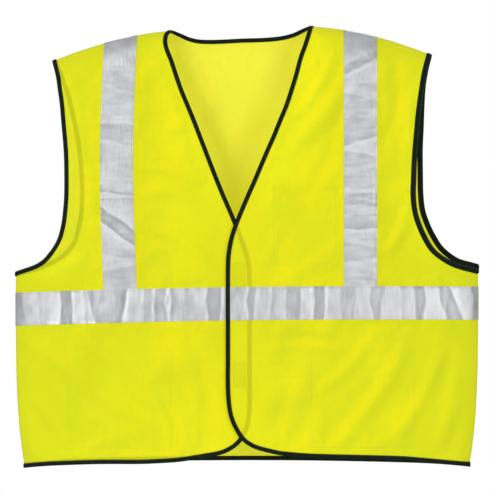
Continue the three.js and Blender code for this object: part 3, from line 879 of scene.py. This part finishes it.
def knit_fabric(name, solid, glow_and_fill_light, lit, shaded):
    """Fine warp-knit polyester: rows of small loops with tiny gaps that let tinted light through.

    Its emission strength sets how much of its colour the cloth gives off on top of what it reflects: partly
    its real fluorescence, and partly painted light that lifts its shaded parts as if light shone through
    it.
    """
    m = Material(name, Sheen_Weight=0.12, Sheen_Roughness=0.5, Specular_IOR_Level=0.2)
    # Emission: fluorescence, and painted light that brightens the shade
    m.put(m.shader.inputs["Emission Strength"], glow_and_fill_light)
    m.put(m.shader.inputs["Emission Color"], (*lit, 1))
    gaps = m.node("BsdfTransparent", {"Color": (0.74, 0.79, 0.035, 1)})
    mix = m.node("MixShader", {0: solid, 1: gaps.outputs[0], 2: m.shader.outputs[0]})
    m.links.new(mix.outputs[0], m.nodes["Material Output"].inputs["Surface"])
    where = m.flat()
    loops = m.maths("MULTIPLY", m.bands(0.0011, "X", where), m.bands(0.0013, "Y", where))
    slub = m.specks(0.0035, m.flat((1, 0.25, 1)))
    wear = m.specks(0.09, where, 3.0)
    tone = m.total(
        m.range(loops, -0.16, 0.16),
        m.range(slub, -0.14, 0.14, 0.3, 0.7),
        m.range(wear, 0.30, 0.80, 0.3, 0.7),
        # Painted light and shade: lighter where folds face up and to the viewer's left, darker where they
        # face away and where the cloth turns into its seams
        m.range(m.attribute("slope"), -0.6, 0.6, -0.6, 0.6),
    )
    height = m.total(loops, m.maths("MULTIPLY", slub, 0.6))
    return m.finish(m.blend(tone, shaded, lit), m.range(loops, 0.92, 0.78), height, 0.00012)


def silver_tape(name):
    """Glass-bead tape: a fine pearly grain, dulled patches and hair-thin wrinkles, and painted light and
    shade that makes each crease facet lighter or darker by its slope.
    """
    m = Material(name, Metallic=0.45, Specular_IOR_Level=0.5)
    where = m.flat()
    beads = m.specks(0.0006, where, 1.0)
    patches = m.specks(0.028, where, 3.0)
    hairs = m.specks(0.004, m.flat((1, 0.25, 1)), 3.0)
    warp = m.bands(0.0008, "Y", where)
    tone = m.total(
        m.range(patches, -0.1, 0.3, 0.3, 0.7),
        m.range(beads, 0.0, 0.2, 0.35, 0.65),
        # Painted light and shade: each crease facet lighter or darker by how it slopes along the tape
        m.range(m.attribute("slope"), -0.3, 1.0, -0.17, 0.17),
    )
    colour = m.blend(tone, (0.31, 0.313, 0.33), (0.58, 0.585, 0.60))
    roughness = m.total(m.range(patches, 0.36, 0.5, 0.3, 0.7), m.range(beads, 0.0, 0.08))
    height = m.total(hairs, m.maths("MULTIPLY", warp, 0.05), m.maths("MULTIPLY", beads, 0.12))
    return m.finish(colour, roughness, height, 0.0005)


def woven_binding(name):
    """Dark polyester twill, a little paler where it has rubbed."""
    m = Material(name, Specular_IOR_Level=0.08)
    where = m.flat()
    ribs = m.bands(0.0009, "DIAGONAL", where)
    yarn = m.bands(0.0007, "X", where)
    rub = m.specks(0.012, where, 4.0)
    weave = m.maths("MULTIPLY", ribs, m.range(yarn, 0.6, 1.0))
    tone = m.total(m.range(weave, 0.0, 0.45), m.range(rub, 0.0, 0.5, 0.35, 0.75))
    colour = m.blend(tone, (0.002, 0.006, 0.003), (0.010, 0.019, 0.010))
    return m.finish(colour, m.range(weave, 0.85, 0.62), weave, 0.00015)


def thread(name, colour, pale):
    """Spun polyester thread: fine twisted fibres."""
    m = Material(name, Sheen_Weight=0.1)
    place = m.node("TexCoord").outputs["Object"]
    fibres = m.specks(0.0004, place)
    tint = m.blend(fibres, colour, pale)
    return m.finish(tint, m.range(fibres, 0.55, 0.8), fibres, 0.00005)


def fastener(name, colour, pale, grain):
    """Hook-and-loop tape: a woven ground under a grainy pile."""
    m = Material(name, Sheen_Weight=0.2)
    where = m.flat()
    pile = m.specks(grain, where, 3.0)
    ground = m.bands(grain * 2, "X", where)
    tone = m.total(m.range(pile, 0.0, 0.7, 0.3, 0.7), m.range(ground, 0.0, 0.3))
    return m.finish(m.blend(tone, colour, pale), m.range(pile, 0.95, 0.7), pile, 0.0004)


# Each cloth: how solid it is, its emission (partly painted light, stronger on the back to lift its shaded
# inside), and its lit and shaded colours
FRONT_FABRIC = knit_fabric("front_fabric", 0.58, 0.13, (0.91, 0.815, 0.008), (0.70, 0.745, 0.012))
BACK_FABRIC = knit_fabric("back_fabric", 0.80, 0.19, (0.84, 0.765, 0.045), (0.70, 0.71, 0.04))
TAPE_SILVER = silver_tape("reflective_silver")
BINDING_TWILL = woven_binding("binding_twill")
DARK_THREAD = thread("dark_thread", (0.012, 0.018, 0.011), (0.05, 0.065, 0.045))
GREY_THREAD = thread("grey_thread", (0.42, 0.42, 0.44), (0.66, 0.66, 0.68))
YELLOW_THREAD = thread("yellow_thread", (0.62, 0.62, 0.012), (0.80, 0.79, 0.03))
HOOK_NYLON = fastener("hook_nylon", (0.50, 0.52, 0.03), (0.72, 0.72, 0.10), 0.0011)
LOOP_NYLON = fastener("loop_nylon", (0.56, 0.58, 0.05), (0.80, 0.80, 0.22), 0.0018)

# ---- putting pieces together

SHELL = "vest_shell"


def dress(piece, material):
    piece.data.materials.append(material)
    return piece


def on_shell(*pieces):
    for piece in pieces:
        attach(piece, SHELL)
    return list(pieces)


def across_fold(front, *pieces):
    """Bakes each piece's transform into its mesh and returns the pieces."""
    for piece in pieces:
        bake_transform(piece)
    return list(pieces)


# ---- bindings and stitches


def along_cloth(cloth, path, step, offset=0.0):
    """Flat points along a path, an even step apart once on the cloth."""
    dense = evenly(path, 0.25)
    along = distances(cloth.points(*dense.T, offset))
    return spots(dense, along, even_steps(along[-1], step))


def frames(points, normals, closed=False):
    """Directions along a line, sideways from it in the cloth, and out of the cloth."""
    if closed:
        along = np.roll(points, -1, axis=0) - np.roll(points, 1, axis=0)
    else:
        along = np.gradient(points, axis=0)
    along /= np.linalg.norm(along, axis=1, keepdims=True)
    sideways = np.cross(along, normals)
    sideways /= np.linalg.norm(sideways, axis=1, keepdims=True)
    return along, sideways, np.cross(sideways, along)


def sweep(name, points, outward, normal, closed, spread=1.0):
    """Binding carried along an edge, drawn in a little at every stitch. spread widens it."""
    count, sides = len(points), len(BINDING_SECTION)
    section = np.array(BINDING_SECTION) * (spread, 1)
    pucker = 1 + 0.05 * np.sin(np.arange(count) * 2.4) + 0.04 * np.sin(np.arange(count) * 0.71)
    rings = (
        points[:, None]
        + outward[:, None] * section[None, :, :1]
        + normal[:, None] * section[None, :, 1:] * pucker[:, None, None]
    )
    turns_on = count if closed else count - 1
    faces = []
    for k in range(turns_on):
        a, b = k * sides, (k + 1) % count * sides
        faces += [(a + s, a + (s + 1) % sides, b + (s + 1) % sides, b + s) for s in range(sides)]
    if not closed:
        last = (count - 1) * sides
        faces += [tuple(range(sides)), tuple(last + s for s in reversed(range(sides)))]
    length = np.arange(count) * BINDING_STEP
    flat = flat_list(*np.meshgrid(length, distances(section), indexing="ij"))
    return outward_faces(new_object(name, rings.reshape(-1, 3), faces, flat))


def eased(normals, ends, passes):
    """The normals along a line, averaged with their neighbours, so that the line turns gently."""
    for _ in range(passes):
        wider = np.pad(normals, ((1, 1), (0, 0)), ends)
        normals = wider[:-2] / 4 + normals / 2 + wider[2:] / 4
    return normals / np.linalg.norm(normals, axis=1, keepdims=True)


def bound(names, points, normals, way, closed=False, spread=1.0):
    """A binding along an edge and its row of stitches. way is 1 or -1, whichever leads off the cloth."""
    along, sideways, up = frames(points, normals, closed)
    outward = sideways * way
    binding = dress(sweep(names[0], points, outward, up, closed, spread), BINDING_TWILL)
    row = points + outward * BINDING_STITCH_OUT * spread + up * BINDING_STITCH_UP
    return binding, stitches(names[1], row, up, DARK_THREAD)


def bound_edge(name, cloth, path, way):
    """The binding of an open edge, along a flat path."""
    path = along_cloth(cloth, path, BINDING_STEP)
    normals = eased(cloth.normal(*path.T), "edge", 8)
    return bound((name, name + "_stitching"), cloth.points(*path.T), normals, way)


def stitch_places(length):
    """How far along a row of some length the middle of each stitch is."""
    return (np.arange(int(length / STITCH_PITCH)) + 0.5) * STITCH_PITCH


def stitches(name, line, normals, material):
    """A row of separate stitches along a line in space."""
    along = distances(line)
    wanted = stitch_places(along[-1])
    row = spots(line, along, wanted), spots(normals, along, wanted)
    return stitches_at(name, [row], material)


def stitches_at(name, rows, material):
    """Stitches along rows of places, each row with the way the cloth faces at its places."""
    points = []
    for places, facing in rows:
        basis = np.stack(frames(places, facing), 1)
        points.append((places[:, None] + STITCH @ basis).reshape(-1, 3))
    points = np.vstack(points)
    starts = range(0, len(points), len(STITCH))
    faces = [tuple(start + v for v in face) for start in starts for face in STITCH_FACES]
    return dress(new_object(name, points, faces), material)


def stitched_line(name, cloth, paths, offset, material):
    """Rows of stitches on the cloth along several flat paths, as one piece."""
    rows = []
    for path in paths:
        flat = along_cloth(cloth, path, 1.0, offset)
        along = distances(cloth.points(*flat.T, offset))
        places = spots(flat, along, stitch_places(along[-1]))
        rows.append((cloth.points(*places.T, offset), cloth.normal(*places.T)))
    return stitches_at(name, rows, material)


# ---- tapes


def front_edge_out(front, z):
    """How far out the front's free edge is at a height, below the V."""
    edge = curve_through(front.edge)
    return float(np.interp(-z, -edge[:, 1], edge[:, 0]))


def waist_grid(start, end):
    """Flat points over a waist tape between two flat x."""
    columns = np.linspace(start, end, round(abs(end - start) / TAPE_STEP) + 1)
    shares = np.linspace(0, 1, round(TAPE_WIDTH / TAPE_STEP) + 1)
    x, share = np.meshgrid(columns, shares)
    return x, waist_top(x) - share * TAPE_WIDTH


def shoulder_grid(side, span, sway=0):
    """Flat points over a shoulder tape, crowded together near the shoulder ridge."""
    turn = SHOULDER_ROUND * (1 - np.cos(np.radians(np.arange(5, 76, 7))))
    depths = np.concatenate([turn, np.arange(turn[-1] + TAPE_STEP, SHOULDER_TAPE_LENGTH, TAPE_STEP)])
    across = np.linspace(0, 1, round(TAPE_WIDTH / TAPE_STEP) + 1)
    out, share = np.meshgrid(span[0] + across * TAPE_WIDTH, depths / depths[-1])
    out = out + sway * np.sin(np.pi * share)
    top = shoulder_height(out)
    return side * out, top - share * (top - waist_top(side * out))


def tape_pieces(name, cloth, x, z, upright):
    """A tape and the two rows of stitches along its long edges."""
    skins = [cloth.points(x, z, offset) for offset in (TAPE_OFFSET, TAPE_OFFSET - TAPE_THICKNESS)]
    tape = dress(closed_sheet(name, skins, flat_list(x, z), 50), TAPE_SILVER)
    mark_slope(tape, np.tile(cloth.tapes[int(upright)].slope(x, z).ravel(), 2))
    edges = tape_columns(x, z) if upright else tape_rows(x, z)
    rows = stitched_line(
        name + "_stitching", cloth, edges, TAPE_STITCH_OFFSET, GREY_THREAD
    )
    return tape, rows


def tape_rows(x, z):
    inset = np.array([0, STITCH_INSET])
    return [flat_list(x[0], z[0]) - inset, flat_list(x[-1], z[-1]) + inset]


def tape_columns(x, z):
    inset = np.array([math.copysign(STITCH_INSET, x[0, -1] - x[0, 0]), 0])
    return [flat_list(x[:, 0], z[:, 0]) + inset, flat_list(x[:, -1], z[:, -1]) - inset]


def add_front_tapes(front):
    inner = front.side * (front_edge_out(front, WAIST_TAPE_MIDDLE) + EDGE_ROOM)
    x, z = waist_grid(inner, front.side * WAIST_TAPE_END)
    waist = tape_pieces(front.name + "_front_waist_tape", front.cloth, x, z, False)
    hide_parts(front.name + "_waist_tape", front.name + "_flap_waist_tape")
    x, z = shoulder_grid(front.side, front.tape_x, TAPE_SWAY if front is RIGHT else 0)
    name = front.name + "_front_shoulder_tape"
    shoulder = tape_pieces(name + "_cloth", front.cloth, x, z, True)
    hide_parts(name)
    return across_fold(front, *waist) + on_shell(*shoulder)


def add_back_tapes():
    waist = tape_pieces("back_waist_tape_cloth", BACK, *waist_grid(-WAIST_TAPE_END, WAIST_TAPE_END), False)
    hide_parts("back_waist_tape")
    made = on_shell(*waist)
    for front in FRONTS:
        node = front.name + "_back_shoulder_tape"
        x, z = shoulder_grid(front.side, front.tape_x)
        tape, rows = tape_pieces(node + "_cloth", BACK, x, z, True)
        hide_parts(node)
        made += on_shell(tape, rows)
    return made


# ---- pockets


def add_pocket(name, front, span, heights):
    """A patch sewn inside a front on three sides, with a hem along its open top."""
    outs = np.linspace(*span, round((span[1] - span[0]) / CLOTH_STEP) + 1)
    downs = np.linspace(*heights, round((heights[0] - heights[1]) / CLOTH_STEP) + 1)
    out, z = np.meshgrid(outs, downs)
    x = front.side * out
    slack = POCKET_SLACK * np.sin(np.pi * (out - span[0]) / (span[1] - span[0]))
    slack = slack * (1 - smoothstep(0, 60, heights[0] - z))
    points = front.cloth.points(x, z) + inward(front, x, z, slack - POCKET_OFFSET)
    rows = int((heights[0] - downs <= POCKET_HEM + 0.1).sum())
    hem_points = points[:rows] + inward(front, x[:rows], z[:rows], 0.5)
    made = []
    for piece_name, grid in ((name, points), (name + "_hem", hem_points)):
        flat = flat_list(x[: len(grid)], z[: len(grid)])
        piece = new_object(piece_name, grid.reshape(-1, 3), grid_faces(*grid.shape[:2]), flat)
        made.append(dress(piece, FRONT_FABRIC))
    left, right = span[0] + POCKET_STITCH_INSET, span[1] - POCKET_STITCH_INSET
    high, low = heights[0], heights[1] + POCKET_STITCH_INSET
    corners = np.array([(left, high), (left, low), (right, low), (right, high)], float)
    path = evenly(corners * [front.side, 1], 1.0)
    row = stitched_line(name + "_stitching", front.cloth, [path], 0.12, YELLOW_THREAD)
    return [*made, row]


def inward(front, x, z, distance):
    return -front.cloth.normal(x, z) * np.broadcast_to(distance, x.shape)[..., None]


# ---- seams


def add_seam(name, line, facing):
    """Both layers' allowance under a seam, overlocked together, and its stitches."""
    count = len(line)
    ripple = 0.35 * np.sin(np.arange(count) * 0.9) + 0.2 * np.sin(np.arange(count) * 0.37)
    sideways = np.array([0.0, 1.0, 0.0])
    depths = np.linspace(0.6, SEAM_DEPTH, 6)
    waves = ripple[:, None] / SEAM_DEPTH
    skins = []
    for apart in (0.3, -0.3):
        rows = [line - facing * depth + sideways * (apart + waves * depth) for depth in depths]
        skins.append(np.stack(rows))
    flat = flat_list(*np.meshgrid(depths, np.arange(count) * SEAM_STEP, indexing="ij"))
    piece = dress(closed_sheet(name + "_cloth", skins, flat), BACK_FABRIC)
    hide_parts(name)
    edge = line - facing * SEAM_DEPTH + sideways * ripple[:, None]
    zigzag = edge + sideways * (np.arange(count) % 2 * 2 - 1)[:, None] * 0.5
    normals = np.tile(-facing, (count, 1))
    row = stitches(name + "_overlock", zigzag, normals, YELLOW_THREAD)
    return on_shell(piece, row)


def add_seams(front):
    outs = np.arange(NECK_HALF_WIDTH + 6, SHOULDER_HALF_WIDTH - 4, SEAM_STEP)
    top = np.stack([front.side * outs, 0 * outs, shoulder_height(outs)], -1)
    top = tilted(top - [0, 0, SEAM_INSET])
    made = add_seam(front.name + "_shoulder_seam", top, np.array([0, 0, 1.0]))
    z = np.arange(UNDERARM_Z - 14, HEM_CORNER_Z + 4, -SEAM_STEP)
    side = hung(front.side * (side_width(z) - SEAM_INSET), 0 * z, z)
    return made + add_seam(front.name + "_side_seam", side, np.array([front.side, 0, 0.0]))


# ---- hook-and-loop strips

# Which strips each front carries: their kind, how far out of the cloth, their finish and their pile.
STRIPS = {
    "left": ("hook", -STRIP_OFFSET, HOOK_NYLON, 0.35),
    "right": ("loop", STRIP_OFFSET, LOOP_NYLON, 0.25),
}


def add_strip(name, front, top, offset, material, pile):
    """A strip with a knobbly pile on one face and its stitched border."""
    outs = np.linspace(*STRIP_X, 39)
    downs = np.linspace(top, top - STRIP_HEIGHT, 77)
    x, z = np.meshgrid(outs, downs)
    edge = np.min([x - STRIP_X[0], STRIP_X[1] - x, top - z, z - top + STRIP_HEIGHT], axis=0)
    knobs = pile * smoothstep(1.6, 2.6, edge) * (0.5 + 0.5 * np.sin(x * 4.2) * np.sin(z * 4.2))
    knobs = knobs + 0.15 * noise(x, z, 1.7, 50)
    face = math.copysign(1.0, offset)
    lift = (offset + face * (STRIP_BASE + knobs))[..., None]
    outer = front.cloth.points(x, z) + front.cloth.normal(x, z) * lift
    inner = front.cloth.points(x, z, offset - face * STRIP_BASE)
    strip = dress(closed_sheet(name + "_pile", [outer, inner], flat_list(x, z)), material)
    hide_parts(name)
    left, right = STRIP_X[0] + STRIP_STITCH_INSET, STRIP_X[1] - STRIP_STITCH_INSET
    high, low = top - STRIP_STITCH_INSET, top - STRIP_HEIGHT + STRIP_STITCH_INSET
    loop = [(left, high), (right, high), (right, low), (left, low), (left, high)]
    loop = evenly(np.array(loop, float), 1.0)
    seen = 0.15 if front is LEFT else 1.6
    row = stitched_line(name + "_stitching", front.cloth, [loop], seen, YELLOW_THREAD)
    for piece in (strip, row):
        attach(piece, front.flap)
    return [strip, row]


# ---- the panels and everything sewn to them


def add_front(front):
    panel = cloth_panel(front.name + "_front_cloth", front.cloth, front_outline(front))
    dress(panel, FRONT_FABRIC)
    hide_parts(front.name + "_front_panel", front.name + "_flap_panel")
    edge = np.vstack([front.flat(front.edge)[:-1], front.flat(front.hem)])
    name = front.name + "_front_edge_binding"
    binding, rows = bound_edge(name, front.cloth, edge, front.side)
    nodes = ("_neck_binding", "_flap_binding", "_hem_binding")
    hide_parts(*[front.name + node for node in nodes])
    sewn = add_front_tapes(front)
    across_fold(front, panel, binding, rows)
    lower = add_pocket(front.name + "_lower_pocket_cloth", front, LOWER_POCKET_X, LOWER_POCKET_Z)
    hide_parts(front.name + "_lower_pocket")
    sewn += on_shell(*lower) + add_seams(front)
    if front is LEFT:
        chest = add_pocket("chest_pocket_cloth", front, CHEST_POCKET_X, CHEST_POCKET_Z)
        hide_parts("chest_pocket_outer_half", "chest_pocket_inner_half")
        sewn += across_fold(front, *chest)
    kind, offset, material, pile = STRIPS[front.name]
    for level, top in zip(("upper", "lower"), STRIP_TOPS):
        sewn += add_strip(f"{level}_{kind}_strip", front, top, offset, material, pile)
    return panel, [binding, rows, *sewn]


def add_armhole_binding(front):
    """One closed loop, up the front of the armhole and down its back."""
    ahead = along_cloth(front.cloth, front.flat(front.armhole)[::-1], BINDING_STEP)
    behind = along_cloth(BACK, front.flat(front.back_armhole), BINDING_STEP)
    points = np.vstack([front.cloth.points(*ahead.T), BACK.points(*behind.T)[1:-1]])
    normals = np.vstack([front.cloth.normal(*ahead.T), BACK.normal(*behind.T)[1:-1]])
    name = front.name + "_armhole_binding"
    names = (name + "_cloth", name + "_stitching")
    spread = LEFT_ARMHOLE_SPREAD if front is LEFT else 1.0
    binding, row = bound(names, points, eased(normals, "wrap", 3), -front.side, True, spread)
    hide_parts(name)
    return on_shell(binding, row)


def add_back():
    panel = dress(cloth_panel("back_cloth", BACK, back_outline()), BACK_FABRIC)
    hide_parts("back_panel")
    on_shell(panel)
    sewn = []
    for name, knots, way in (("back_neck_binding", BACK_NECK, 1), ("back_hem_binding", BACK_HEM, -1)):
        binding, rows = bound_edge(name + "_cloth", BACK, both_halves(knots), way)
        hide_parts(name)
        sewn += on_shell(binding, rows)
    return panel, sewn + add_back_tapes()


# ---- the stage


def add_floor():
    """A pale round floor well below the hem."""
    bpy.ops.mesh.primitive_circle_add(vertices=96, radius=1.5, fill_type="NGON", location=(0, -0.4, -1.0))
    floor = bpy.context.object
    floor.name = "studio_floor"
    m = Material("studio_floor_paint", Roughness=0.9)
    m.shader.inputs["Base Color"].default_value = (0.86, 0.86, 0.86, 1)
    floor.data.materials.append(m.data)


def add_lamp(name, place, target, size, watts):
    data = bpy.data.lights.new(name, "AREA")
    data.shape = "DISK"
    data.size = size
    data.energy = watts
    lamp = bpy.data.objects.new(name, data)
    lamp.location = place
    lamp.rotation_euler = (Vector(target) - Vector(place)).to_track_quat("-Z", "Y").to_euler()
    bpy.context.scene.collection.objects.link(lamp)


def add_world(seen, lit):
    """A white surround where it is seen directly, and dimmer as light and through the cloth."""
    world = bpy.data.worlds.new("studio")
    world.use_nodes = True
    nodes, links = world.node_tree.nodes, world.node_tree.links
    backgrounds = [nodes["Background"], nodes.new("ShaderNodeBackground")]
    for background, strength in zip(backgrounds, (lit, seen)):
        background.inputs["Color"].default_value = (1, 1, 1, 1)
        background.inputs["Strength"].default_value = strength
    path, direct, mix = (nodes.new("ShaderNode" + kind) for kind in ("LightPath", "Math", "MixShader"))
    direct.operation = "SUBTRACT"
    direct.use_clamp = True
    links.new(path.outputs["Is Camera Ray"], direct.inputs[0])
    links.new(path.outputs["Transparent Depth"], direct.inputs[1])
    for source, socket in zip((direct, *backgrounds), mix.inputs):
        links.new(source.outputs[0], socket)
    links.new(mix.outputs[0], nodes["World Output"].inputs["Surface"])
    bpy.context.scene.world = world


def add_camera():
    """Straight on, at the height of the vest's middle, from far enough for a flat view."""
    data = bpy.data.cameras.new("camera")
    camera = bpy.data.objects.new("camera", data)
    camera.location = CAMERA_AT
    camera.rotation_euler = (math.radians(90), 0, 0)
    data.lens = data.sensor_width * (VEST_FACE_Y - CAMERA_AT[1]) / VIEW_WIDTH
    bpy.context.scene.collection.objects.link(camera)
    bpy.context.scene.camera = camera


def add_studio():
    bpy.context.scene.view_settings.view_transform = "Standard"
    add_world(1.0, WORLD_LIGHT)
    add_floor()
    for lamp in LAMPS:
        add_lamp(*lamp)
    add_camera()


simulate()
add_studio()
for each in FRONTS:
    panel, sewn = add_front(each)
    front_outline(each)
    sewn + add_armhole_binding(each)
panel, sewn = add_back()
back_outline()
